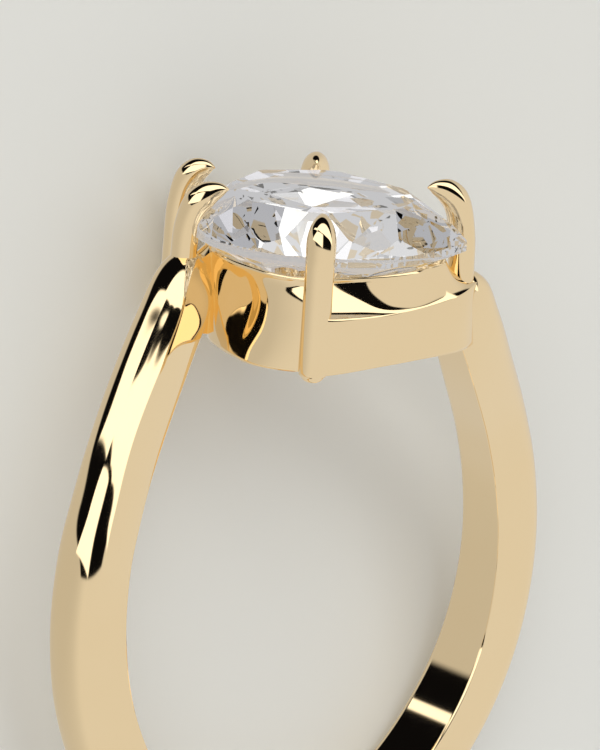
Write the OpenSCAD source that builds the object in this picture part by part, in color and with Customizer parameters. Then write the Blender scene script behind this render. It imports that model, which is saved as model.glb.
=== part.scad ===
// Bypass solitaire ring with a pear-shaped brilliant in five claws, lying on its side.
// The ring is drawn as worn: finger along Y, stone at the top in Z, the right shank in front.
// The last step turns it on its side, so that it rests on the head and the bottom of the band.

/* [Size] */
// radius of the finger hollow
finger_r = 8.25; // [7.6:0.05:9.6]
// width of the band at the bottom, along the finger
band_w = 1.9; // [1.6:0.1:2.6]
// thickness of the band from the finger to the outside
band_t = 1.9; // [1.6:0.1:2.3]

/* [Stone] */
// half of the stone's width across its widest place
stone_half_w = 3.25; // [3:0.05:3.4]
// from the culet line to the round end
stone_round = 3.8; // [3.6:0.05:3.9]
// from the culet line to the tip
stone_tip = 5; // [4.9:0.05:5.2]
// height of the crown above the girdle
crown_h = 1.35; // [1.15:0.05:1.4]
// depth of the pavilion below the girdle
pavilion_h = 2.6; // [2.4:0.05:2.8]
// table size as a share of the outline
table_share = 0.66; // [0.58:0.01:0.7]

/* [Head] */
// height of the girdle above the finger axis
girdle_z = 12.35; // [12:0.05:12.6]
// direction of the stone's tip, seen from above and measured from X
stone_turn = -50; // [-54:1:-46]
// half of a claw's width
claw_r = 0.47; // [0.42:0.01:0.52]
// gap between the stone and the gold
seat_gap = 0.03; // [0.02:0.01:0.06]
// underside of the head above the finger axis
head_floor = 8.75; // [8.6:0.05:8.9]

/* [Hidden] */
$fn = 128;
stone_at = [-0.09, 0.44];
stations = 72;

function mix(a, b, k) = a * (1 - k) + b * k;

// outline of the stone, by polar angle round the culet line
arc_r = (stone_tip * stone_tip + stone_half_w * stone_half_w) / (2 * stone_half_w);
arc_q = arc_r - stone_half_w;
function outline_r(a) =
    let (c = cos(a), s = abs(sin(a)))
    c > 0 ? -arc_q * s + sqrt(arc_q * arc_q * s * s + arc_r * arc_r - arc_q * arc_q)
          : stone_round * stone_half_w / sqrt(pow(stone_half_w * c, 2) + pow(stone_round * s, 2));

// smooth table: a Catmull-Rom curve through rows of [position, value]
function seg(v, rows, i = 0) = i >= len(rows) - 2 || v < rows[i + 1][0] ? i : seg(v, rows, i + 1);
function slope(rows, i) =
    let (a = max(0, i - 1), b = min(len(rows) - 1, i + 1))
    (rows[b][1] - rows[a][1]) / (rows[b][0] - rows[a][0]);
function curve(v, rows) =
    let (i = seg(v, rows), h = rows[i + 1][0] - rows[i][0],
         k = min(1, max(0, (v - rows[i][0]) / h)), k2 = k * k, k3 = k2 * k)
    (2 * k3 - 3 * k2 + 1) * rows[i][1] + (k3 - 2 * k2 + k) * h * slope(rows, i)
    + (3 * k2 - 2 * k3) * rows[i + 1][1] + (k3 - k2) * h * slope(rows, i + 1);

// skin over rings of points; the ends are closed unless the rings form a loop
module skin(rows, loop = false) {
    n = len(rows);
    m = len(rows[0]);
    side = [for (i = [0 : n - (loop ? 1 : 2)], j = [0 : m - 1])
        let (p = i * m + j, q = i * m + (j + 1) % m, k = (i + 1) % n)
        each [[p, q, k * m + (j + 1) % m], [p, k * m + (j + 1) % m, k * m + j]]];
    ends = loop ? [] : [[for (j = [m - 1 : -1 : 0]) j], [for (j = [0 : m - 1]) (n - 1) * m + j]];
    polyhedron([for (r = rows) each r], concat(side, ends), convexity = 8);
}

// shank: one sweep round the finger; its ends leave the circle and climb into the claws
// position along the finger and the section's size, by angle above the horizontal
right_drift = [[-90, -0.3], [-50, -0.1], [-20, -0.03], [0, -0.03], [20, -0.2], [35, -0.72], [48, -1.42]];
left_drift = [[-90, -0.3], [-50, -0.68], [-30, -0.55], [-10, -0.13], [0, 0.06], [20, 0.53], [35, 1.07], [48, 1.72]];
shank_w = [[-90, 1.1], [-40, 1.1], [0, 1], [30, 0.96], [48, 0.96]];
shank_t = [[-90, 1.08], [-40, 1.05], [0, 1.09], [48, 1.1]];
shank_in = [[-90, 1], [-40, 1], [0, 0.92], [30, 0.84], [48, 0.83]];
// each row: inner face [x, y, z], lean of the section, half of its width, its thickness
right_neck = [[[4.85, -1.79, 7.04], 38.5, 0.9, 2.1], [[4.25, -2.08, 7.93], 36, 0.88, 2.1],
    [[3.7, -2.27, 8.8], 33.5, 0.84, 2.08], [[3.2, -2.38, 9.6], 31, 0.75, 2.04],
    [[2.88, -2.44, 10.2], 28, 0.58, 1.8], [[2.8, -2.47, 10.7], 22, 0.3, 1.4]];
left_neck = [[[4.85, 1.98, 7.04], 38.5, 0.91, 2.1], [[4.25, 2.15, 7.93], 36, 0.9, 2.05],
    [[3.72, 2.28, 8.75], 33.5, 0.88, 1.98], [[3.18, 2.42, 9.62], 31, 0.86, 1.88],
    [[2.75, 2.6, 10.35], 29, 0.74, 1.7], [[2.5, 2.75, 10.95], 26, 0.5, 1.3], [[2.45, 2.85, 11.3], 22, 0.25, 0.8]];
function rise(a) = a > -90 ? a : -180 - a;   // angle above the horizontal, on either side
function drift(a) = a > -90 ? curve(a, right_drift) : curve(rise(a), left_drift);
// flat inside with an edge on both sides, fuller flanks, and a squarish dome outside
function power(v, k) = sign(v) * pow(abs(v), k);
function section(c, a, w, t, share, deep) =
    let (flat = 0.08 * t,
         flank = [[w * share, -t / 2 - deep], [w * mix(share, 1, 0.6), mix(-t / 2, flat, 0.35)]])
    [for (p = concat([for (f = flank) [-f[0], f[1]]],
            [for (g = [0 : 15 : 180]) [-w * power(cos(g), 0.8), flat + (t / 2 - flat) * power(sin(g), 0.8)]],
            [flank[1], flank[0]]))
        [c[0] + p[1] * cos(a), c[1] + p[0], c[2] + p[1] * sin(a)]];
// the section stands square to the ring, and starts to straighten before the ends leave it
function straighten(up) = up > 30 ? 8.5 * pow((up - 30) / 18, 1.85) : 0;
function shank_row(a) =
    let (up = rise(a), t = band_t * curve(up, shank_t), lean = a - (a > -90 ? 1 : -1) * straighten(up))
    section([finger_r * cos(a) + t / 2 * cos(lean), drift(a), finger_r * sin(a) + t / 2 * sin(lean)], lean,
        band_w * curve(up, shank_w) / 2, t, curve(up, shank_in), up < 44 ? 0.3 : 0.06);
function neck_row(r, side) =
    let (a = side > 0 ? r[1] : 180 - r[1])
    section([side * r[0][0] + r[3] / 2 * cos(a), r[0][1], r[0][2] + r[3] / 2 * sin(a)], a, r[2], r[3], 0.83, 0);
module shank() skin(concat(
    [for (i = [len(right_neck) - 1 : -1 : 0]) neck_row(right_neck[i], 1)],
    [for (a = [48 : -3.45 : -228]) shank_row(a)],
    [for (r = left_neck) neck_row(r, -1)]));

// head, in the stone's own directions: X to the tip, girdle at Z = 0
module at_head() translate([stone_at[0], stone_at[1], girdle_z]) rotate(stone_turn) children();
under = head_floor - girdle_z;

// cup under the stone: a lip that carries it and a wall drawn in like a scoop
foot_r = [[-180, 3], [-168, 3.1], [-157, 3.12], [-146, 3.1], [-130, 3.2], [-115, 3.42], [-103, 3.48], [-92, 3.46], [-84, 3.45],
    [-70, 3.2], [-45, 2.9], [-15, 2.9], [0, 3.2], [17, 3.1], [34, 2.7], [55, 2.55], [70, 2.85], [84, 3.35],
    [96, 3.45], [110, 3.15], [130, 2.7], [160, 2.8], [180, 2.9]];
// depth of the scoops at half height; below zero the wall swells to carry a claw
scoop = [[-180, 0.1], [-165, 0.02], [-155, 0.08], [-143, 0.35], [-128, 0.48], [-115, 0.3], [-105, 0.1], [-95, 0],
    [-84, -0.08], [-70, -0.05], [-55, 0], [0, 0], [20, 0.3], [40, 0.42], [58, 0.4], [72, 0.12], [83, -0.2], [96, -0.4],
    [110, -0.15], [125, 0], [160, 0], [180, 0.1]];
lip_z = -0.6;
// the lip lies inside the stone's outline, least so beside the front claw
lip_in = [[-180, 0.62], [-130, 0.62], [-110, 0.42], [-95, 0.3], [-80, 0.34], [-60, 0.55], [-45, 0.62], [180, 0.62]];
function lip_r(a) = outline_r(a) - curve(a > 180 ? a - 360 : a, lip_in);
function ring(a, p) = [cos(a) * p[0], sin(a) * p[0], p[1]];
// rings of points from upright profiles that run from the bottom to the top
module stack(profiles) skin([for (k = [len(profiles[0]) - 1 : -1 : 0]) [for (q = profiles) q[k]]]);
around = [for (i = [0 : stations - 1]) 360 * i / stations - 180];
module cup() {
    stack([for (a = around)
        let (lip = lip_r(a), foot = curve(a, foot_r), in = curve(a, scoop))
        [for (p = [[foot, under],
                   [mix(lip, foot, 0.95) - 0.3 * in, mix(lip_z, under, 0.87)],
                   [mix(lip, foot, 0.8) - 0.75 * in, mix(lip_z, under, 0.7)],
                   [mix(lip, foot, 0.6) - in, mix(lip_z, under, 0.52)],
                   [mix(lip, foot, 0.4) - 0.92 * in, mix(lip_z, under, 0.36)],
                   [mix(lip, foot, 0.2) - 0.5 * in, mix(lip_z, under, 0.2)],
                   [lip, lip_z - 0.24], [lip + 0.04, lip_z - 0.1], [lip, lip_z]]) ring(a, p)]]);
}
// open gallery under the stone
module hollow() {
    stack([for (a = around)
        let (lip = lip_r(a), foot = curve(a, foot_r))
        [for (p = [[foot - 0.85, under - 0.5], [foot - 0.85, under], [lip - 1.2, mix(lip_z, under, 0.55)],
                   [lip - 0.75, lip_z - 0.3], [lip - 0.55, lip_z + 0.6]]) ring(a, p)]]);
}

// bypass arm: a wall with an upright face and a hollowed ledge that rises to the lip
// each row: foot of the face [x, y], height of its top edge, polar angle of the lip point, lip height
front_arm = [[[0.34, -3.66], -1.62, -85, -0.75], [[0.8, -3.7], -1.68, -78, -0.75],
    [[1.28, -3.48], -1.73, -68, -0.75], [[1.9, -2.95], -1.78, -54, -0.75], [[2.6, -2.27], -1.85, -43, -0.75],
    [[3.2, -1.7], -1.88, -31, -0.72], [[3.8, -1.1], -1.86, -20, -0.66], [[4.45, -0.46], -1.77, -10, -0.6],
    [[5.05, 0.25], -1.62, 0, -0.56], [[5.34, 1.05], -1.5, 9, -0.58], [[5.32, 1.75], -1.6, 17, -0.9]];
back_arm = [[[-0.3, 3.32], -1.6, 100, -0.75], [[-1, 3.2], -1.6, 112, -0.75], [[-1.7, 2.85], -1.64, 123, -0.75],
    [[-2.4, 2.4], -1.7, 134, -0.75], [[-3.1, 1.8], -1.72, 146, -0.72], [[-3.85, 1.3], -1.7, 158, -0.66],
    [[-4.4, 0.6], -1.66, 170, -0.6], [[-4.5, 0], -1.6, 180, -0.6], [[-4.4, -0.7], -1.6, 190, -0.85]];
arm_floor = under + 0.05;
function arm_row(r) =
    let (f = r[0], top = r[1], lip = r[3], ray = [cos(r[2]), sin(r[2])], l = ray * lip_r(r[2]), in = ray * 1.5)
    concat([[in[0], in[1], arm_floor], [f[0], f[1], arm_floor]],
        [for (k = [0.25 : 0.25 : 0.75]) [f[0], f[1], mix(arm_floor, top, k)]],
        [[f[0], f[1], top - 0.07]],
        [for (k = [0.06 : 0.12 : 1]) let (p = mix(f, l, k)) [p[0], p[1], mix(top, lip, pow(k, 1.7))]],
        [[l[0], l[1], lip], [in[0], in[1], lip]]);
module arm(rows) skin([for (r = rows) arm_row(r)]);

// claw: a flattened stalk that bends over the crown and ends in a point
// way: rows of [distance outward, height, half thickness, half width]; out: outward direction
function claw_rows(at, out, way) =
    [for (i = [0 : len(way) - 1])
        let (p = way[i], a = way[max(0, i - 1)], b = way[min(len(way) - 1, i + 1)],
             d = [b[0] - a[0], b[1] - a[1]], side = [-d[1], d[0]] / norm(d))
        [for (g = [0 : 22.5 : 337.5])
            let (r = p[0] + side[0] * p[2] * cos(g), z = p[1] + side[1] * p[2] * cos(g),
                 y = p[3] * claw_r / 0.47 * sin(g))
            [at[0] + r * cos(out) - y * sin(out), at[1] + r * sin(out) + y * cos(out), z]]];
module claw(at, out, floor_z, lift = 0, reach = 1) {
    bend = [[-0.1, 0.2, 0.42, 0.475], [-0.21, 0.6, 0.43, 0.48], [-0.4, 0.93, 0.45, 0.46], [-0.66, 1.16, 0.41, 0.38],
        [-0.88, 1.26, 0.33, 0.28], [-1.1, 1.32, 0.22, 0.18], [-1.24, 1.34, 0.11, 0.1], [-1.33, 1.34, 0.03, 0.03]];
    skin(claw_rows(at, out, concat(
        [[0, floor_z, 0.08, 0.08], [0, floor_z + 0.06, 0.24, 0.28], [0, floor_z + 0.22, 0.33, 0.42],
         [0, floor_z + 0.5, 0.4, 0.47], [-0.02, mix(floor_z, 0, 0.5), 0.42, 0.47], [-0.04, -0.3, 0.42, 0.47]],
        [for (b = bend) [b[0] * reach, b[1] + lift * min(1, b[1]), b[2], b[3]]])));
}
module claws() {
    claw([0.66, -3.42], -84, under - 0.3, -0.08, 0.82);
    claw([-0.3, 3.42], 97, under + 0.1, 0.2, 0.9);
    claw([4.8, 1.08], 32, -1.95, 0.37, 1.06);
    claw([-3.95, -0.95], -168, -2.4, 0);
    claw([-4.42, 1.2], 166, under + 0.3, 0.17, 0.87);
}

// stone: a pear brilliant; g grows it on all sides
mains = [-180, -130, -85, -40, 0, 40, 85, 130];
between = [-155, -107.5, -62.5, -20, 20, 62.5, 107.5, 155];
steps = 8;
girdle_t = 0.3;
module stone(g = 0) {
    n = len(mains);
    rim = [for (i = [0 : n - 1])
        let (a = mains[i], b = between[i], c = i < n - 1 ? mains[i + 1] : 180)
        each concat([for (k = [0 : steps / 2 - 1]) mix(a, b, 2 * k / steps)],
                    [for (k = [0 : steps / 2 - 1]) mix(b, c, 2 * k / steps)])];
    m = len(rim);
    e = girdle_t / 2 + g;
    at = function (a, k, z) let (r = outline_r(a) * k + g) [r * cos(a), r * sin(a), z];
    points = concat(
        [for (a = mains) at(a, table_share + 0.04, crown_h + g)],
        [for (a = between) at(a, 0.85, crown_h * 0.6 + g)],
        [for (a = rim) at(a, 1, e)],
        [for (a = rim) at(a, 1, -e)],
        [for (a = between) at(a, 0.42, -pavilion_h * 0.62 - g)],
        [[0, 0, -pavilion_h - g]]);
    top = function (i) i % n;
    star = function (i) n + (i + n) % n;
    up = function (i) 2 * n + (i + m) % m;
    low = function (i) 2 * n + m + (i + m) % m;
    deep = function (i) 2 * n + 2 * m + (i + n) % n;
    culet = 3 * n + 2 * m;
    faces = concat(
        [[for (i = [n - 1 : -1 : 0]) top(i)]],
        [for (i = [0 : n - 1]) each [
            [top(i), top(i + 1), star(i)],
            [star(i - 1), top(i), up(i * steps)],
            [top(i), star(i), up(i * steps)],
            [low(i * steps), deep(i), culet],
            [deep(i - 1), low(i * steps), culet]]],
        [for (i = [0 : n - 1], k = [0 : steps - 1]) each [
            [star(i), up(i * steps + k + 1), up(i * steps + k)],
            [deep(i), low(i * steps + k), low(i * steps + k + 1)]]],
        [for (i = [0 : m - 1]) each [
            [up(i), up(i + 1), low(i + 1)], [up(i), low(i + 1), low(i)]]]);
    polyhedron(points, faces, convexity = 2);
}

// laid down: turned on its side, then leaned until it touches the floor
lean_x = 11.85;
lean_y = 2.15;
lift = [0, -2.212, 2.832];
module laid() translate(lift) rotate([lean_x, lean_y, 0]) rotate([-90, 0, 0]) children();

module mounting() {
    color([0.87, 0.76, 0.55]) laid() difference() {
        union() {
            shank();
            difference() {
                at_head() {
                    cup();
                    arm(front_arm);
                    arm(back_arm);
                    claws();
                }
                at_head() hollow();
                at_head() stone(seat_gap);
            }
        }
        rotate([90, 0, 0]) cylinder(r = finger_r, h = 14, center = true);
    }
}

module center_stone() {
    color([0.9, 0.93, 0.96]) laid() at_head() stone();
}

mounting();
center_stone();
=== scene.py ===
import math
import bmesh
import bpy
import numpy as np
from mathutils import Matrix, Vector


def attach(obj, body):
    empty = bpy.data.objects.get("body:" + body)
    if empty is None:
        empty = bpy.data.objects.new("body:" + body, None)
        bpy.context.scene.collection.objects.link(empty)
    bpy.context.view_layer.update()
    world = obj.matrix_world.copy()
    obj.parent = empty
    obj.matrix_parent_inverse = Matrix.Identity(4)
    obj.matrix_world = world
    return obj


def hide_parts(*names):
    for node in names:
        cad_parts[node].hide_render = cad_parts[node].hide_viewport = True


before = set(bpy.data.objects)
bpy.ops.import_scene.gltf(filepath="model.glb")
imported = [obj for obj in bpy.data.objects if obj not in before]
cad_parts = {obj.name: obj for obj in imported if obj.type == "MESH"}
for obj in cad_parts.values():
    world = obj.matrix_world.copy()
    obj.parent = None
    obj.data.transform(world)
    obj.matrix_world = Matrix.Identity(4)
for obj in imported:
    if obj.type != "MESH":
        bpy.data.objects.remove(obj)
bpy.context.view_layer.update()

mm = 0.001
rootBody = "root"

# the ring is drawn as worn, in mm: finger along Y, stone up in Z
# then it is turned on its side and leaned as it comes to rest
lay = {
    "leanX": 11.85,
    "leanY": 2.15,
    "lift": (0, -2.212, 2.832),
}
layDown = (
    Matrix.Scale(mm, 4)
    @ Matrix.Translation(lay["lift"])
    @ Matrix.Rotation(math.radians(lay["leanY"]), 4, "Y")
    @ Matrix.Rotation(math.radians(lay["leanX"]), 4, "X")
    @ Matrix.Rotation(math.radians(-90), 4, "X")
)


# camera, at the photograph's angle to the ring
view = {
    "around": 45.1,
    "above": 18.5,
    "roll": 4.0,
    "right": 0.1,
    "up": 7.2,
    "distance": 386.0,
    "lens": 720,
}


def cameraAxes():
    around, above = math.radians(view["around"]), math.radians(view["above"])
    back = Vector((
        -math.sin(around) * math.cos(above),
        -math.cos(around) * math.cos(above),
        math.sin(above),
    ))
    right = Vector((math.cos(around), -math.sin(around), 0))
    up = back.cross(right)
    roll = math.radians(view["roll"])
    return (
        right * math.cos(roll) + up * math.sin(roll),
        up * math.cos(roll) - right * math.sin(roll),
        back,
    )


def aimCamera():
    right, up, back = cameraAxes()
    place = right * view["right"] + up * view["up"] + back * view["distance"]
    turn = layDown.to_3x3() * (1 / mm)
    axes = Matrix((turn @ right, turn @ up, turn @ back)).transposed()
    bpy.ops.object.camera_add()
    camera = bpy.context.object
    camera.name = "photoCamera"
    camera.matrix_world = Matrix.Translation(layDown @ place) @ axes.to_4x4()
    camera.data.sensor_fit = "HORIZONTAL"
    camera.data.sensor_width = 36
    camera.data.lens = view["lens"]
    camera.data.clip_start = 0.01
    bpy.context.scene.camera = camera
    print("camera set")


def clearSelection():
    if bpy.context.object and bpy.context.object.mode != "OBJECT":
        bpy.ops.object.mode_set(mode="OBJECT")
    bpy.ops.object.select_all(action="DESELECT")


def mix(a, b, k):
    return a * (1 - k) + b * k


# smooth curve through rows of (position, value)
def curve(v, rows):
    i = 0
    while i < len(rows) - 2 and v >= rows[i + 1][0]:
        i += 1

    def slope(k):
        a, b = max(0, k - 1), min(len(rows) - 1, k + 1)
        return (rows[b][1] - rows[a][1]) / (rows[b][0] - rows[a][0])

    h = rows[i + 1][0] - rows[i][0]
    k = min(1, max(0, (v - rows[i][0]) / h))
    return (
        (2 * k**3 - 3 * k * k + 1) * rows[i][1]
        + (k**3 - 2 * k * k + k) * h * slope(i)
        + (3 * k * k - 2 * k**3) * rows[i + 1][1]
        + (k**3 - k * k) * h * slope(i + 1)
    )


# where subdividing would draw the points of a cage, in one of its two directions
def smoothAlong(points, axis, loop, kept):
    p = np.moveaxis(points, axis, 0)
    q = (np.roll(p, 1, 0) + 4 * p + np.roll(p, -1, 0)) / 6
    still = list(kept) if loop else list(kept) + [0, len(p) - 1]
    q[still] = p[still]
    return np.moveaxis(q, 0, axis)


# corner points whose subdivided surface passes through the wanted points
def cageThrough(wanted, loop, sharpRows, sharpColumns, rounds=14):
    wanted = np.array(wanted, float)
    cage = wanted.copy()
    for _ in range(rounds):
        surface = smoothAlong(cage, 0, loop, sharpRows)
        surface = smoothAlong(surface, 1, True, sharpColumns)
        cage += wanted - surface
    return cage


# a tube grown ring by ring: each ring is extruded from the last one and set to its place
def growTube(name, rings, loop=False, sharpRows=(), sharpColumns=(), levels=3):
    cage = cageThrough(rings, loop, sharpRows, sharpColumns)
    clearSelection()
    bpy.ops.mesh.primitive_circle_add(vertices=len(cage[0]), radius=1)
    piece = bpy.context.object
    piece.name = name
    bpy.ops.object.mode_set(mode="EDIT")
    bpy.ops.mesh.select_mode(type="VERT")
    mesh = bmesh.from_edit_mesh(piece.data)
    mesh.verts.ensure_lookup_table()
    ringOf = {v.index: (0, k) for k, v in enumerate(mesh.verts)}
    for v in mesh.verts:
        v.co = cage[0][ringOf[v.index][1]]
    for row in range(1, len(cage)):
        bpy.ops.mesh.extrude_edges_move()
        mesh = bmesh.from_edit_mesh(piece.data)
        mesh.verts.index_update()
        for v in [v for v in mesh.verts if v.select]:
            last = next(e.other_vert(v) for e in v.link_edges if not e.other_vert(v).select)
            ringOf[v.index] = (row, ringOf[last.index][1])
            v.co = cage[row][ringOf[v.index][1]]
        bmesh.update_edit_mesh(piece.data)

    # a cap on each end, or the last ring joined to the first
    final = len(cage) - 1
    bpy.ops.mesh.select_all(action="DESELECT")
    for rows in [(0, final)] if loop else [(0,), (final,)]:
        mesh = bmesh.from_edit_mesh(piece.data)
        for e in mesh.edges:
            ends = [ringOf[v.index][0] for v in e.verts]
            e.select = ends[0] == ends[1] and ends[0] in rows
        mesh.select_flush_mode()
        bmesh.update_edit_mesh(piece.data)
        if loop:
            bpy.ops.mesh.bridge_edge_loops()
        else:
            bpy.ops.mesh.edge_face_add()
        bpy.ops.mesh.select_all(action="DESELECT")

    # sharp edges are creased before the smoothing
    mesh = bmesh.from_edit_mesh(piece.data)
    values = mesh.edges.layers.float
    crease = values.get("crease_edge") or values.new("crease_edge")
    for e in mesh.edges:
        (rowA, colA), (rowB, colB) = (ringOf[v.index] for v in e.verts)
        if (rowA == rowB and rowA in sharpRows) or (colA == colB and colA in sharpColumns):
            e[crease] = 1.0
    bmesh.update_edit_mesh(piece.data)
    bpy.ops.mesh.select_all(action="SELECT")
    bpy.ops.mesh.normals_make_consistent(inside=False)
    bpy.ops.object.mode_set(mode="OBJECT")
    smoother = piece.modifiers.new("smooth", "SUBSURF")
    smoother.levels = levels
    smoother.render_levels = levels
    bpy.ops.object.modifier_apply(modifier=smoother.name)
    bpy.ops.object.shade_smooth()
    return piece


# head: its own X runs to the stone's point, girdle at Z = 0
head = {
    "at": (-0.09, 0.44),
    "girdleZ": 12.35,
    "turn": -50,
    "floor": 8.75,
    "halfW": 3.25,
    "round": 3.8,
    "tip": 5,
    "girdle": 0.3,
}
under = head["floor"] - head["girdleZ"]
headTurn = (
    Matrix.Translation((*head["at"], head["girdleZ"]))
    @ Matrix.Rotation(math.radians(head["turn"]), 4, "Z")
)


def inHead(points):
    return [[headTurn @ Vector(p) for p in ring] for ring in points]


# outline of the stone by polar angle: two arcs that meet at the point, half an oval behind
def pearR(angle):
    w, r, t = head["halfW"], head["round"], head["tip"]
    arcR = (t * t + w * w) / (2 * w)
    arcQ = arcR - w
    c = math.cos(math.radians(angle))
    s = abs(math.sin(math.radians(angle)))
    if c > 0:
        return -arcQ * s + math.sqrt(arcQ * arcQ * s * s + arcR * arcR - arcQ * arcQ)
    return r * w / math.sqrt((w * c) ** 2 + (r * s) ** 2)


# band: one sweep round the finger, whose ends leave the circle and climb into the claws
# each table: angle above the horizontal, value
band = {
    "fingerR": 8.25,
    "w": 1.9,
    "t": 1.9,
    "rightDrift": (
        (-90, -0.3), (-50, -0.1), (-20, -0.03), (0, -0.03), (20, -0.2), (35, -0.72), (48, -1.42),
    ),
    "leftDrift": (
        (-90, -0.3), (-50, -0.68), (-30, -0.55), (-10, -0.13), (0, 0.06), (20, 0.53), (35, 1.07),
        (48, 1.72),
    ),
    "width": ((-90, 1.1), (-40, 1.1), (0, 1), (30, 0.96), (48, 0.96)),
    "thickness": ((-90, 1.08), (-40, 1.05), (0, 1.09), (48, 1.1)),
    "innerShare": ((-90, 1), (-40, 1), (0, 0.92), (30, 0.84), (48, 0.83)),
    # point on the inner face, lean of the section, half of its width, its thickness
    "rightNeck": (
        ((4.85, -1.79, 7.04), 38.5, 0.9, 2.1), ((4.25, -2.08, 7.93), 36, 0.88, 2.1),
        ((3.7, -2.27, 8.8), 33.5, 0.84, 2.08), ((3.2, -2.38, 9.6), 31, 0.75, 2.04),
        ((2.88, -2.44, 10.2), 28, 0.58, 1.8), ((2.8, -2.47, 10.7), 22, 0.3, 1.4),
    ),
    "leftNeck": (
        ((4.85, 1.98, 7.04), 38.5, 0.91, 2.1), ((4.25, 2.15, 7.93), 36, 0.9, 2.05),
        ((3.72, 2.28, 8.75), 33.5, 0.88, 1.98), ((3.18, 2.42, 9.62), 31, 0.86, 1.88),
        ((2.75, 2.6, 10.35), 29, 0.74, 1.7), ((2.5, 2.75, 10.95), 26, 0.5, 1.3),
        ((2.45, 2.85, 11.3), 22, 0.25, 0.8),
    ),
    "neckShare": 0.83,
    "end": 48,
    "steps": 40,
    # the section straightens before the end: from which angle, over how many degrees,
    # by how many degrees, and how suddenly
    "straighten": (30, 18, 8.5, 1.85),
    # height of the dome's foot as a share of the thickness, and how round the dome is
    "domeFoot": 0.08,
    "domePower": 0.8,
    # how often the shoulders are smoothed where the circle turns into the necks
    # and how many sections that takes in on the neck and on the circle
    "easing": 3,
    "shoulder": (3, 4),
}


# flat inside with an edge on both sides, fuller flanks and a squarish dome outside
def bandSection(centre, lean, w, t, share):
    a = math.radians(lean)
    flat = band["domeFoot"] * t
    flank = (w * mix(share, 1, 0.6), mix(-t / 2, flat, 0.35))
    profile = [(0, -t / 2), (-w * share, -t / 2), (-flank[0], flank[1])]
    for g in range(0, 181, 30):
        c, up = math.cos(math.radians(g)), math.sin(math.radians(g)) ** band["domePower"]
        aside = math.copysign(abs(c) ** band["domePower"], c)
        profile.append((-w * aside, flat + (t / 2 - flat) * up))
    profile += [flank, (w * share, -t / 2)]
    x, y, z = centre
    return [(x + p * math.cos(a), y + aside, z + p * math.sin(a)) for aside, p in profile]


def neckSection(row, side):
    (x, y, z), lean, w, t = row
    lean = lean if side > 0 else 180 - lean
    c, s = math.cos(math.radians(lean)), math.sin(math.radians(lean))
    centre = (side * x + t / 2 * c, y, z + t / 2 * s)
    return bandSection(centre, lean, w, t, band["neckShare"])


def makeBand():
    rings = [neckSection(row, 1) for row in reversed(band["rightNeck"])]
    sweep = 180 + 2 * band["end"]
    start, length, most, power = band["straighten"]
    for i in range(band["steps"] + 1):
        a = band["end"] - sweep * i / band["steps"]
        rise = a if a > -90 else -180 - a
        drift = curve(rise, band["rightDrift"] if a > -90 else band["leftDrift"])
        t = band["t"] * curve(rise, band["thickness"])
        w = band["w"] * curve(rise, band["width"]) / 2
        # square to the ring, and straightening before the ends leave it
        lean = a - math.copysign(most * (max(0, rise - start) / length) ** power, a + 90)
        centre = (
            band["fingerR"] * math.cos(math.radians(a)) + t / 2 * math.cos(math.radians(lean)),
            drift,
            band["fingerR"] * math.sin(math.radians(a)) + t / 2 * math.sin(math.radians(lean)),
        )
        rings.append(bandSection(centre, lean, w, t, curve(rise, band["innerShare"])))
    rings += [neckSection(row, -1) for row in band["leftNeck"]]
    rings = np.array(rings)
    right, left = len(band["rightNeck"]), len(rings) - len(band["leftNeck"])
    neck, circle = band["shoulder"]
    for _ in range(band["easing"]):
        eased = (np.roll(rings, 1, 0) + 2 * rings + np.roll(rings, -1, 0)) / 4
        for first, last in ((right - neck, right + circle), (left - circle, left + neck)):
            rings[first:last] = eased[first:last]
    return growTube("band", rings.tolist(), sharpColumns=(1, 11), levels=3)


# gallery under the stone: a seat rail, and a wall drawn in like a scoop
# each table by angle: polar angle, value
gallery = {
    "foot": (
        (-180, 3), (-168, 3.1), (-157, 3.12), (-146, 3.1), (-130, 3.2), (-115, 3.42), (-103, 3.48),
        (-92, 3.46), (-84, 3.45), (-70, 3.2), (-45, 2.9), (-15, 2.9), (0, 3.2), (17, 3.1),
        (34, 2.7), (55, 2.55), (70, 2.85), (84, 3.35), (96, 3.45), (110, 3.15), (130, 2.7),
        (160, 2.8), (180, 2.9),
    ),
    # depth of the scoops at half height; below zero the wall swells to carry a claw
    "scoop": (
        (-180, 0.1), (-165, 0.02), (-155, 0.08), (-143, 0.35), (-128, 0.48), (-115, 0.3),
        (-105, 0.1), (-95, 0), (-84, -0.08), (-70, -0.05), (-55, 0), (0, 0), (20, 0.3),
        (40, 0.42), (58, 0.4), (72, 0.12), (83, -0.2), (96, -0.4), (110, -0.15), (125, 0),
        (160, 0), (180, 0.1),
    ),
    "lipZ": -0.6,
    # how far the lip lies inside the stone's outline, least so beside the front claw
    "lipIn": (
        (-180, 0.62), (-130, 0.62), (-110, 0.42), (-95, 0.3), (-80, 0.34), (-60, 0.55),
        (-45, 0.62), (180, 0.62),
    ),
    # outer wall from the foot up: share of the way from lip to foot, share of the scoop's
    # depth, share of the way down
    "wall": (
        (0.95, 0.3, 0.87), (0.8, 0.75, 0.7), (0.6, 1, 0.52), (0.4, 0.92, 0.36), (0.2, 0.5, 0.2),
    ),
    # seat rail: distance inwards from the lip, depth below it
    "rail": ((0, 0.24), (-0.05, 0.1), (0, 0), (0.3, 0.24), (0.75, 0.5)),
    # inner wall: distance inwards from the lip half way down, and from the foot below that
    "innerLip": 1.1,
    "innerFoot": 0.85,
    "sole": 0.45,
    "stations": 48,
}


def lipReach(angle):
    return pearR(angle) - curve((angle + 180) % 360 - 180, gallery["lipIn"])


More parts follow.
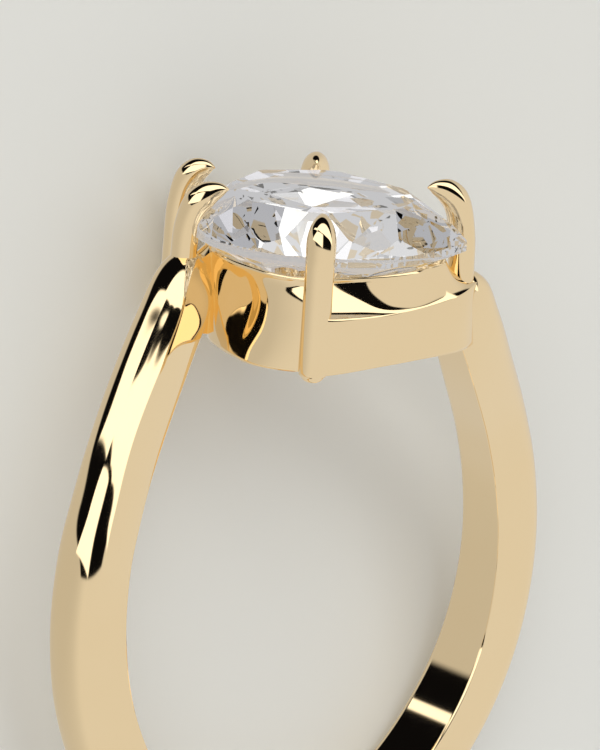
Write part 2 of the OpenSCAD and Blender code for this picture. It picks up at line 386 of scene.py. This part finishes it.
def makeGallery():
    lipZ = gallery["lipZ"]
    rows = []
    for i in range(gallery["stations"]):
        angle = 360 * i / gallery["stations"] - 180
        lip = lipReach(angle)
        foot = curve(angle, gallery["foot"])
        scoop = curve(angle, gallery["scoop"])
        profile = [(foot - gallery["sole"], under), (foot, under)]
        for way, depth, down in gallery["wall"]:
            profile.append((mix(lip, foot, way) - depth * scoop, mix(lipZ, under, down)))
        profile += [(lip - inwards, lipZ - depth) for inwards, depth in gallery["rail"]]
        inner = foot - gallery["innerFoot"]
        profile.append((lip - gallery["innerLip"], mix(lipZ, under, 0.55)))
        profile += [(inner, mix(lipZ, under, 0.85)), (inner, under)]
        c, s = math.cos(math.radians(angle)), math.sin(math.radians(angle))
        rows.append([(c * r, s * r, z) for r, z in profile])
    rings = [[row[k] for row in rows] for k in range(len(rows[0]))]
    return growTube("gallery", inHead(rings), loop=True, sharpRows=(1, 9, 14), levels=2)


# bypass arms: an upright face with a hollowed ledge above it that rises to the rail
# each row: foot of the face, height of its top edge, polar angle of the lip point, lip height
arms = {
    "front": (
        ((0.34, -3.66), -1.62, -85, -0.75), ((0.8, -3.7), -1.68, -78, -0.75),
        ((1.28, -3.48), -1.73, -68, -0.75), ((1.9, -2.95), -1.78, -54, -0.75),
        ((2.6, -2.27), -1.85, -43, -0.75), ((3.2, -1.7), -1.88, -31, -0.72),
        ((3.8, -1.1), -1.86, -20, -0.66), ((4.45, -0.46), -1.77, -10, -0.6),
        ((5.05, 0.25), -1.62, 0, -0.56), ((5.34, 1.05), -1.5, 9, -0.58),
        ((5.32, 1.75), -1.6, 17, -0.9),
    ),
    "back": (
        ((-0.3, 3.32), -1.6, 100, -0.75), ((-1, 3.2), -1.6, 112, -0.75),
        ((-1.7, 2.85), -1.64, 123, -0.75), ((-2.4, 2.4), -1.7, 134, -0.75),
        ((-3.1, 1.8), -1.72, 146, -0.72), ((-3.85, 1.3), -1.7, 158, -0.66),
        ((-4.4, 0.6), -1.66, 170, -0.6), ((-4.5, 0), -1.6, 180, -0.6),
        ((-4.4, -0.7), -1.6, 190, -0.85),
    ),
    # points across the ledge, and how hollow it is
    "ledge": (0.25, 0.5, 0.75),
    "hollow": 1.7,
    # inner wall: distance inwards from the gallery's foot, and inwards and down from its lip
    "innerFoot": 0.42,
    "innerLip": (0.33, 0.5),
}


# an arm's inner wall runs hidden inside the gallery's wall
def armRing(row):
    (x, y), top, angle, lipZ = row
    foot = Vector((x, y))
    ray = Vector((math.cos(math.radians(angle)), math.sin(math.radians(angle))))
    turn = (angle + 180) % 360 - 180
    lipR, footR = lipReach(angle), curve(turn, gallery["foot"])
    middle = mix(lipR, footR, 0.5) - curve(turn, gallery["scoop"])
    lip = ray * lipR
    ring = [(*(ray * (footR - arms["innerFoot"])), under), (*foot, under)]
    ring += [(*foot, mix(under, top, 0.5)), (*foot, top)]
    for k in arms["ledge"]:
        ring.append((*foot.lerp(lip, k), mix(top, lipZ, k ** arms["hollow"])))
    inwards, down = arms["innerLip"]
    ring += [(*lip, lipZ), (*(ray * (lipR - inwards)), lipZ - down)]
    inner = ray * mix(middle, lipR - gallery["innerLip"], 0.5)
    return ring + [(*inner, mix(gallery["lipZ"], under, 0.52))]


def makeArm(side):
    rings = [armRing(row) for row in arms[side]]
    ends, corners = (0, len(rings) - 1), (0, 1, 3, 7)
    return growTube(side + "Arm", inHead(rings), sharpRows=ends, sharpColumns=corners, levels=3)


# claws: flattened stalks that bend over the crown to a point
# each claw: place, outward direction, foot height, extra height, reach
claws = {
    "near": ((0.66, -3.42), -84, under - 0.3, -0.08, 0.82),
    "far": ((-0.3, 3.42), 97, under + 0.1, 0.2, 0.9),
    "tip": ((4.8, 1.08), 32, -1.95, 0.37, 1.06),
    "leftFront": ((-3.95, -0.95), -168, -2.4, 0, 1),
    "leftBack": ((-4.42, 1.2), 166, under + 0.3, 0.17, 0.87),
    "around": 16,
    # rounded foot: height above its lowest point, half thickness, half width
    "foot": ((0, 0.08, 0.08), (0.06, 0.24, 0.28), (0.22, 0.33, 0.42), (0.5, 0.4, 0.47)),
    "stalk": (0.42, 0.47),
    # distance outward, height, half thickness, half width
    "bend": (
        (-0.1, 0.2, 0.42, 0.475), (-0.21, 0.6, 0.43, 0.48), (-0.4, 0.93, 0.45, 0.46),
        (-0.66, 1.16, 0.41, 0.38), (-0.88, 1.26, 0.33, 0.28), (-1.1, 1.32, 0.22, 0.18),
        (-1.24, 1.34, 0.11, 0.1), (-1.33, 1.34, 0.03, 0.03),
    ),
}


def clawWay(floorZ, lift, reach):
    way = [(0, floorZ + z, thick, wide) for z, thick, wide in claws["foot"]]
    way += [(-0.02, floorZ * 0.5, *claws["stalk"]), (-0.04, -0.3, *claws["stalk"])]
    for r, z, thick, wide in claws["bend"]:
        way.append((r * reach, z + lift * min(1, z), thick, wide))
    return way


def makeClaw(name):
    (x, y), out, floorZ, lift, reach = claws[name]
    way = clawWay(floorZ, lift, reach)
    c, s = math.cos(math.radians(out)), math.sin(math.radians(out))
    rings = []
    for i, (r, z, thick, wide) in enumerate(way):
        before, after = way[max(0, i - 1)], way[min(len(way) - 1, i + 1)]
        along = Vector((after[0] - before[0], after[1] - before[1])).normalized()
        ring = []
        for k in range(claws["around"]):
            g = 2 * math.pi * k / claws["around"]
            outward = r - along.y * thick * math.cos(g)
            height = z + along.x * thick * math.cos(g)
            aside = wide * math.sin(g)
            ring.append((x + outward * c - aside * s, y + outward * s + aside * c, height))
        rings.append(ring)
    return growTube(name + "Claw", inHead(rings), levels=2)


def solder(pieces, name):
    clearSelection()
    for piece in pieces:
        piece.select_set(True)
    bpy.context.view_layer.objects.active = pieces[0]
    bpy.ops.object.join()
    whole = bpy.context.object
    whole.name = name
    whole.data.name = name
    return whole


def settle(piece):
    clearSelection()
    piece.matrix_world = layDown
    piece.select_set(True)
    bpy.context.view_layer.objects.active = piece
    bpy.ops.object.transform_apply(location=True, rotation=True, scale=True)


def finishPiece(piece, node, material):
    piece.data.materials.clear()
    piece.data.materials.append(material)
    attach(piece, rootBody)
    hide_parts(node)


# stone: a block in the pear outline, cut by one plane for each facet
cut = {
    "crown": 1.35,
    "pavilion": 2.6,
    "table": 0.7,
    # directions of the facets
    "mains": (-180, -130, -85, -40, 0, 40, 85, 130),
    "stars": (-155, -107.5, -62.5, -20, 20, 62.5, 107.5, 155),
    "halves": (-167, -143, -118, -96, -74, -51, -30, -11, 11, 30, 51, 74, 96, 118, 143, 167),
    # star: its reach at the table, as a share of the table, and height at half way out
    "starReach": 0.93,
    "starHeight": 0.62,
    # upper half: share of the way in to the table, and height there; lower half: depth
    "halfIn": 0.34,
    "halfHeight": 0.52,
    "halfDepth": 1.03,
    # block before the cuts: corners round it, floor, height
    "rim": 96,
    "blockFloor": -4,
    "blockHeight": 7,
}


# distance of the outline's tangent whose normal points in that direction
def reachOf(angle):
    c, s = math.cos(math.radians(angle)), math.sin(math.radians(angle))
    best = 0
    for k in range(720):
        a = k / 2 - 180
        best = max(best, pearR(a) * (math.cos(math.radians(a)) * c + math.sin(math.radians(a)) * s))
    return best


def facetPlanes():
    h, e, p, table = cut["crown"], head["girdle"] / 2, cut["pavilion"], cut["table"]
    planes = [((0, 0, h), (0, 0, 1))]

    def facet(angle, r1, z1, r2, z2):
        c, s = math.cos(math.radians(angle)), math.sin(math.radians(angle))
        normal = Vector((z2 - z1, 0, r1 - r2)).normalized()
        if normal.x < 0:
            normal = -normal
        planes.append(((r1 * c, r1 * s, z1), (normal.x * c, normal.x * s, normal.z)))

    for a in cut["mains"]:
        r = reachOf(a)
        facet(a, r, e, r * table, h)
        facet(a, r, -e, 0, -p)
    for a in cut["stars"]:
        r = reachOf(a)
        inner = r * table * cut["starReach"]
        facet(a, mix(inner, r, 0.5), cut["starHeight"] * h, inner, h)
    for a in cut["halves"]:
        r = reachOf(a)
        facet(a, r, e, mix(r, r * table, cut["halfIn"]), h * cut["halfHeight"])
        facet(a, r, -e, 0, -p * cut["halfDepth"])
    return planes


def makeStone():
    clearSelection()
    bpy.ops.mesh.primitive_circle_add(vertices=cut["rim"], radius=1, fill_type="NGON")
    piece = bpy.context.object
    piece.name = "pearStone"
    bpy.ops.object.mode_set(mode="EDIT")
    mesh = bmesh.from_edit_mesh(piece.data)
    for k, v in enumerate(mesh.verts):
        a = 360 * k / cut["rim"] - 180
        r = pearR(a)
        v.co = (r * math.cos(math.radians(a)), r * math.sin(math.radians(a)), cut["blockFloor"])
    bmesh.update_edit_mesh(piece.data)
    bpy.ops.mesh.select_all(action="SELECT")
    up = (0, 0, cut["blockHeight"])
    bpy.ops.mesh.extrude_region_move(TRANSFORM_OT_translate={"value": up})
    bpy.ops.mesh.select_all(action="SELECT")
    bpy.ops.mesh.normals_make_consistent(inside=False)
    for place, normal in facetPlanes():
        bpy.ops.mesh.select_all(action="SELECT")
        bpy.ops.mesh.bisect(
            plane_co=place, plane_no=normal, use_fill=True, clear_outer=True, threshold=0.00001,
        )
    bpy.ops.mesh.select_all(action="SELECT")
    bpy.ops.mesh.remove_doubles(threshold=0.0005)
    bpy.ops.mesh.select_all(action="SELECT")
    bpy.ops.mesh.normals_make_consistent(inside=False)
    bpy.ops.object.mode_set(mode="OBJECT")
    bpy.ops.object.shade_flat()
    piece.data.transform(headTurn)
    return piece


# materials
def newMaterial(name):
    material = bpy.data.materials.new(name)
    material.use_nodes = True
    nodes = material.node_tree.nodes
    return material, nodes, material.node_tree.links, nodes["Principled BSDF"]


# a socket takes another node's output, or a plain value
def feed(links, socket, source):
    if hasattr(source, "is_linked"):
        links.new(source, socket)
    else:
        socket.default_value = source


def calculate(nodes, links, operation, a, b):
    node = nodes.new("ShaderNodeMath")
    node.operation = operation
    feed(links, node.inputs[0], a)
    feed(links, node.inputs[1], b)
    return node.outputs[0]


def distanceAlong(nodes, links, place, direction):
    node = nodes.new("ShaderNodeVectorMath")
    node.operation = "DOT_PRODUCT"
    links.new(place, node.inputs[0])
    node.inputs[1].default_value = direction
    return node.outputs["Value"]


def blendColours(nodes, links, base, over, share):
    node = nodes.new("ShaderNodeMix")
    node.data_type = "RGBA"
    links.new(share, node.inputs["Factor"])
    feed(links, node.inputs["A"], base)
    feed(links, node.inputs["B"], over)
    return node.outputs["Result"]


def blendShaders(nodes, links, base, over, share):
    node = nodes.new("ShaderNodeMixShader")
    links.new(share, node.inputs["Fac"])
    links.new(base, node.inputs[1])
    links.new(over, node.inputs[2])
    return node.outputs["Shader"]


def glowOf(nodes, colour):
    node = nodes.new("ShaderNodeEmission")
    node.inputs["Color"].default_value = colour
    return node.outputs["Emission"]


# fine polishing marks: a slow cloud and thin hairlines
polishMarks = {
    "cloudDetail": 3,
    "lineDetail": 2,
    "lineTurn": (0.4, 0.2, 0.7),
    "lineStretch": (1, 12, 1),
}


def polishGroup():
    group = bpy.data.node_groups.new("handPolish", "ShaderNodeTree")
    for name in ("Cloud Scale", "Line Scale"):
        group.interface.new_socket(name, in_out="INPUT", socket_type="NodeSocketFloat")
    for name in ("Cloud", "Lines"):
        group.interface.new_socket(name, in_out="OUTPUT", socket_type="NodeSocketFloat")
    nodes, links = group.nodes, group.links
    entry = nodes.new("NodeGroupInput")
    leave = nodes.new("NodeGroupOutput")
    place = nodes.new("ShaderNodeTexCoord")
    cloud = nodes.new("ShaderNodeTexNoise")
    cloud.inputs["Detail"].default_value = polishMarks["cloudDetail"]
    links.new(place.outputs["Object"], cloud.inputs["Vector"])
    links.new(entry.outputs["Cloud Scale"], cloud.inputs["Scale"])
    links.new(cloud.outputs["Fac"], leave.inputs["Cloud"])
    stretch = nodes.new("ShaderNodeMapping")
    stretch.inputs["Rotation"].default_value = polishMarks["lineTurn"]
    stretch.inputs["Scale"].default_value = polishMarks["lineStretch"]
    links.new(place.outputs["Object"], stretch.inputs["Vector"])
    lines = nodes.new("ShaderNodeTexNoise")
    lines.inputs["Detail"].default_value = polishMarks["lineDetail"]
    links.new(stretch.outputs["Vector"], lines.inputs["Vector"])
    links.new(entry.outputs["Line Scale"], lines.inputs["Scale"])
    links.new(lines.outputs["Fac"], leave.inputs["Lines"])
    return group


# the marks in one material, and its base colour between two tints by the cloud
def addPolish(nodes, links, surface, polish, look, tints):
    marks = nodes.new("ShaderNodeGroup")
    marks.node_tree = polish
    marks.inputs["Cloud Scale"].default_value = look["cloudScale"]
    marks.inputs["Line Scale"].default_value = look["lineScale"]
    tint = blendColours(nodes, links, look[tints[0]], look[tints[1]], marks.outputs["Cloud"])
    links.new(tint, surface.inputs["Base Color"])
    return marks


goldLook = {
    "light": (0.93, 0.75, 0.48, 1),
    "deep": (0.91, 0.71, 0.43, 1),
    "roughLow": 0.035,
    "roughHigh": 0.065,
    "cloudScale": 260,
    "lineScale": 900,
    "lineStrength": 0.4,
    "lineDepth": 0.00000006,
    # painted reflection: colour of a deep yellow glow put on gold that is only seen in gold that is
    # itself a reflection
    "inner": (0.9, 0.7, 0.32, 1),
    "innerShare": 0.65,
    "innerDepth": 1.5,
    # painted light: gold seen through the stone is washed out by a pale grey glow that stands in for
    # the light in it
    "washed": (0.5, 0.5, 0.515, 1),
    "washedShare": 0.8,
}


def goldMaterial(polish):
    material, nodes, links, surface = newMaterial("polishedGold")
    marks = addPolish(nodes, links, surface, polish, goldLook, ("light", "deep"))
    rough = nodes.new("ShaderNodeMapRange")
    rough.inputs["To Min"].default_value = goldLook["roughLow"]
    rough.inputs["To Max"].default_value = goldLook["roughHigh"]
    links.new(marks.outputs["Lines"], rough.inputs["Value"])
    links.new(rough.outputs["Result"], surface.inputs["Roughness"])
    surface.inputs["Metallic"].default_value = 1
    bump = nodes.new("ShaderNodeBump")
    bump.inputs["Strength"].default_value = goldLook["lineStrength"]
    bump.inputs["Distance"].default_value = goldLook["lineDepth"]
    links.new(marks.outputs["Lines"], bump.inputs["Height"])
    links.new(bump.outputs["Normal"], surface.inputs["Normal"])
    # painted reflection: gold mirrored in gold mirrored in gold glows a deep yellow, except inside
    # the stone
    path = nodes.new("ShaderNodeLightPath")
    late = calculate(nodes, links, "GREATER_THAN", path.outputs["Ray Depth"], goldLook["innerDepth"])
    outside = calculate(nodes, links, "SUBTRACT", late, path.outputs["Transmission Depth"])
    outside.node.use_clamp = True
    share = calculate(nodes, links, "MULTIPLY", outside, goldLook["innerShare"])
    glow = glowOf(nodes, goldLook["inner"])
    look = blendShaders(nodes, links, surface.outputs["BSDF"], glow, share)
    # painted light: gold seen through the stone is covered by a pale grey glow
    through = path.outputs["Is Transmission Ray"]
    share = calculate(nodes, links, "MULTIPLY", through, goldLook["washedShare"])
    look = blendShaders(nodes, links, look, glowOf(nodes, goldLook["washed"]), share)
    links.new(look, nodes["Material Output"].inputs["Surface"])
    return material


stoneLook = {
    "clear": (1, 1, 1, 1),
    "cool": (0.985, 0.99, 1, 1),
    "cloudScale": 180,
    "lineScale": 700,
    "ior": 2.417,
    # the inside is a mirror from this far below the girdle, in mm
    "mirror": (0.99, 0.99, 1, 1),
    "mirrorBelow": 0.02,
    # painted light: a soft grey glow for light that has been round inside the stone long, and the
    # ray depth it starts at
    "glow": (0.54, 0.54, 0.545, 1),
    "glowDepth": 5.5,
}


def stoneMaterial(polish):
    material, nodes, links, surface = newMaterial("clearDiamond")
    addPolish(nodes, links, surface, polish, stoneLook, ("clear", "cool"))
    surface.inputs["Roughness"].default_value = 0
    surface.inputs["IOR"].default_value = stoneLook["ior"]
    surface.inputs["Transmission Weight"].default_value = 1
    # below the girdle the inside of the stone sends the light back up, as well cut facets do
    place = nodes.new("ShaderNodeTexCoord").outputs["Object"]
    axis = (layDown.to_3x3() @ Vector((0, 0, 1))).normalized()
    girdle = layDown @ headTurn @ Vector((0, 0, -head["girdle"] / 2 - stoneLook["mirrorBelow"]))
    height = distanceAlong(nodes, links, place, axis)
    below = calculate(nodes, links, "LESS_THAN", height, girdle.dot(axis))
    inside = nodes.new("ShaderNodeNewGeometry").outputs["Backfacing"]
    mirror = nodes.new("ShaderNodeBsdfGlossy")
    mirror.inputs["Roughness"].default_value = 0
    mirror.inputs["Color"].default_value = stoneLook["mirror"]
    both = calculate(nodes, links, "MULTIPLY", below, inside)
    look = blendShaders(nodes, links, surface.outputs["BSDF"], mirror.outputs["BSDF"], both)
    # painted light: light that has been round inside the stone for long leaves it as a painted soft
    # grey glow
    depth = nodes.new("ShaderNodeLightPath").outputs["Ray Depth"]
    late = calculate(nodes, links, "GREATER_THAN", depth, stoneLook["glowDepth"])
    look = blendShaders(nodes, links, look, glowOf(nodes, stoneLook["glow"]), late)
    links.new(look, nodes["Material Output"].inputs["Surface"])
    return material


# studio: pale floor, a pale tent, and a black opening in it with soft boxes inside
# directions: degrees to the right of the camera, degrees up, with the ring held as worn
studio = {
    "floorSize": 3,
    "floorColour": (0.765, 0.768, 0.745, 1),
    "floorRough": 0.7,
    # fine grain of the floor, and how dark its dark parts are
    "grainScale": 60,
    "grainDark": 0.97,
    "tent": (0.80, 0.79, 0.77, 1),
    # the shaded side of the tent, and the width of the soft edge of the shade
    "shade": (0.62, 0.61, 0.59, 1),
    "shadeSide": (-125, 30),
    "shadeSoft": 1.1,
    "black": (0.004, 0.004, 0.005, 1),
    # the opening is where all these directions are on the near side
    # each has the width of its soft edge
    "opening": (((165, 77), 0.03), ((85, 68), 0.05), ((-17, 40), 0.1)),
    "box": (1.6, 1.58, 1.5, 1),
    # soft boxes: corners, and the width of the soft edge after each corner
    "softBoxes": {
        "front": ((-72, 16, 0.02), (-62, 46, 0.02), (9, 46, 0.14), (10, 12, 0.03)),
        "top": (
            (-80, 46, 0.02), (-86, 75, 0.1), (92, 60, 0.05), (83, 1, 0.02), (35, 38, 0.02),
            (-12, 53.5, 0.02),
        ),
        "edge": ((-104, 29, 0.02), (-100, 38, 0.03), (-62, 56, 0.02), (-60, 49, 0.02)),
    },
    # background behind the floor
    "room": (0.72, 0.71, 0.68, 1),
    # light and floor as seen through the stone; the floor there is a painted white glow
    "gemLight": (1.2, 1.2, 1.2, 1),
    "gemFill": 0.24,
    "gemFloor": (0.95, 0.94, 0.96, 1),
    # lamp: metres to the right, up, and back towards the camera
    "lampAt": (0.1, 0.12, 0.55),
    "lampSize": 0.6,
    "lampPower": 0.6,
}


# direction in the scene, from degrees right of the camera and degrees up
def towards(right, up):
    turn = math.radians(view["around"] - right)
    flat = math.cos(math.radians(up))
    worn = Vector((-math.sin(turn) * flat, -math.cos(turn) * flat, math.sin(math.radians(up))))
    return (layDown.to_3x3() @ worn).normalized()


# 1 where the ray runs to the near side of a plane through the ring, with a soft edge
def sideMask(nodes, links, ray, normal, soft):
    edge = nodes.new("ShaderNodeMapRange")
    edge.interpolation_type = "SMOOTHSTEP"
    edge.inputs["From Min"].default_value = -soft / 2
    edge.inputs["From Max"].default_value = soft / 2
    links.new(distanceAlong(nodes, links, ray, normal), edge.inputs["Value"])
    return edge.outputs["Result"]


def allOf(nodes, links, masks):
    whole = masks[0]
    for mask in masks[1:]:
        whole = calculate(nodes, links, "MULTIPLY", whole, mask)
    return whole


def boxMask(nodes, links, ray, corners):
    middle = sum((towards(right, up) for right, up, soft in corners), Vector())
    masks = []
    for k, (right, up, soft) in enumerate(corners):
        after = corners[(k + 1) % len(corners)]
        normal = towards(right, up).cross(towards(after[0], after[1])).normalized()
        normal = normal if normal.dot(middle) > 0 else -normal
        masks.append(sideMask(nodes, links, ray, normal, soft))
    return allOf(nodes, links, masks)


def makeFloor():
    clearSelection()
    bpy.ops.mesh.primitive_plane_add(size=studio["floorSize"], location=(0, 0, 0))
    floor = bpy.context.object
    floor.name = "floor"
    material, nodes, links, surface = newMaterial("paleFloor")
    grain = nodes.new("ShaderNodeTexNoise")
    grain.inputs["Scale"].default_value = studio["grainScale"]
    place = nodes.new("ShaderNodeTexCoord")
    links.new(place.outputs["Object"], grain.inputs["Vector"])
    dark = [studio["grainDark"] * c for c in studio["floorColour"][:3]] + [1]
    tint = blendColours(nodes, links, studio["floorColour"], dark, grain.outputs["Fac"])
    links.new(tint, surface.inputs["Base Color"])
    surface.inputs["Roughness"].default_value = studio["floorRough"]
    # painted light: seen through the stone, the floor glows as white as the light in the stone
    through = nodes.new("ShaderNodeLightPath").outputs["Is Transmission Ray"]
    white = glowOf(nodes, studio["gemFloor"])
    look = blendShaders(nodes, links, surface.outputs["BSDF"], white, through)
    links.new(look, nodes["Material Output"].inputs["Surface"])
    floor.data.materials.append(material)
    floor.visible_glossy = False
    print("floor laid")


def makeTent():
    world = bpy.data.worlds.new("studioWorld")
    bpy.context.scene.world = world
    world.use_nodes = True
    nodes, links = world.node_tree.nodes, world.node_tree.links
    ray = nodes.new("ShaderNodeTexCoord").outputs["Generated"]
    opening = [
        sideMask(nodes, links, ray, towards(*normal), soft) for normal, soft in studio["opening"]
    ]
    shade = sideMask(nodes, links, ray, towards(*studio["shadeSide"]), studio["shadeSoft"])
    tent = blendColours(nodes, links, studio["tent"], studio["shade"], shade)
    tent = blendColours(nodes, links, tent, studio["black"], allOf(nodes, links, opening))
    for corners in studio["softBoxes"].values():
        lit = boxMask(nodes, links, ray, corners)
        tent = blendColours(nodes, links, tent, studio["box"], lit)
    path = nodes.new("ShaderNodeLightPath")
    through = path.outputs["Is Transmission Ray"]
    fill = calculate(nodes, links, "MULTIPLY", through, studio["gemFill"])
    tent = blendColours(nodes, links, tent, studio["gemLight"], fill)
    tent = blendColours(nodes, links, tent, studio["room"], path.outputs["Is Camera Ray"])
    links.new(tent, nodes["Background"].inputs["Color"])
    print("tent hung, soft boxes:", len(studio["softBoxes"]))


# a large soft lamp near the camera lights the floor; its shadows fall behind the ring
def makeLamp():
    right, up, back = (layDown.to_3x3() * (1 / mm) @ axis for axis in cameraAxes())
    aside, above, away = studio["lampAt"]
    spot = back * away + up * above + right * aside
    bpy.ops.object.light_add(type="AREA", location=spot)
    lamp = bpy.context.object
    lamp.name = "softLamp"
    lamp.rotation_euler = spot.to_track_quat("Z", "Y").to_euler()
    lamp.data.shape = "DISK"
    lamp.data.size = studio["lampSize"]
    lamp.data.energy = studio["lampPower"]
    lamp.visible_glossy = False
    lamp.visible_transmission = False
    print("lamp set")


aimCamera()
polish = polishGroup()
gold = goldMaterial(polish)
diamond = stoneMaterial(polish)
print("gold and diamond mixed")

goldPieces = [makeBand(), makeGallery(), makeArm("front"), makeArm("back")]
goldPieces += [makeClaw(name) for name in ("near", "far", "tip", "leftFront", "leftBack")]
print("gold parts made:", len(goldPieces))
ring = solder(goldPieces, "goldMounting")
settle(ring)
finishPiece(ring, "mounting", gold)

pearStone = makeStone()
settle(pearStone)
finishPiece(pearStone, "center_stone", diamond)
print("stone cut, faces:", len(pearStone.data.polygons))

makeFloor()
makeTent()
makeLamp()
bpy.context.scene.view_settings.view_transform = "Standard"
